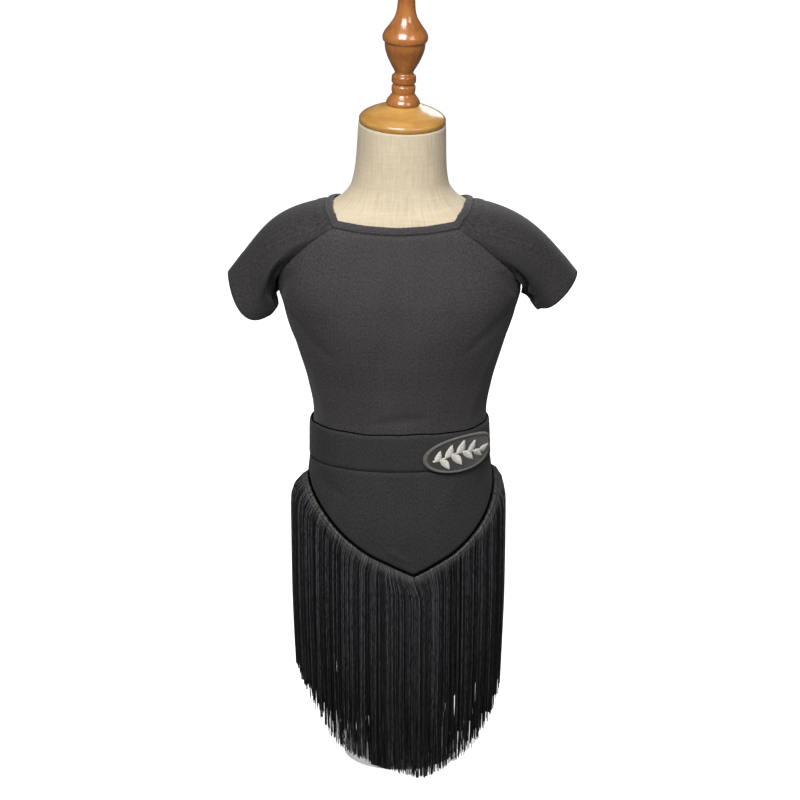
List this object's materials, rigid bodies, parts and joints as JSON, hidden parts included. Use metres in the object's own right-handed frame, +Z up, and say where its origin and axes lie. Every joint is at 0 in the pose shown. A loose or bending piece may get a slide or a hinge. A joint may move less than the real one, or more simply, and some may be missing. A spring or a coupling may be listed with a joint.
{
  "type": "fringed latin dance dress on a dress form",
  "caption": "Child's dance dress with raglan top, elastic waistband, V yoke and long fringe skirt, worn by a limbless linen bust with a turned finial, on a post and round base.",
  "frame": {"origin": "middle of the round base plate's underside, on the surface it stands on", "axes": "+Z up through the post and the bust; the front of the dress faces -Y; +X is the wearer's left"},
  "size_m": [0.3731, 0.1927, 0.8702],
  "materials": {
    "top_jersey": "matt charcoal black stretch jersey with a fine vertical rib",
    "skirt_jersey": "matt black stretch jersey",
    "fringe_cord": "soft satin twisted fringe threads",
    "badge_felt": "felt with satin stitch",
    "linen": "natural linen with slubs",
    "pale_wood": "satin varnish, honey coloured",
    "brown_wood": "gloss varnish, red brown",
    "white_paint": "satin white lacquer"
  },
  "bodies": {
    "root": {"bodice_front": "top_jersey", "bodice_back": "top_jersey", "sleeve_right": "top_jersey", "sleeve_left": "top_jersey", "neck_binding": "top_jersey", "waistband": "skirt_jersey", "yoke_front": "skirt_jersey", "yoke_back": "skirt_jersey", "fringe_front_right": "fringe_cord", "fringe_front_left": "fringe_cord", "fringe_back_right": "fringe_cord", "fringe_back_left": "fringe_cord", "gusset_tail": "top_jersey", "gusset_strap": "top_jersey", "badge": "badge_felt", "form_body": "linen", "neck_cap": "pale_wood", "finial": "brown_wood", "form_post": "white_paint", "form_base": "white_paint"}
  },
  "joints": []
}
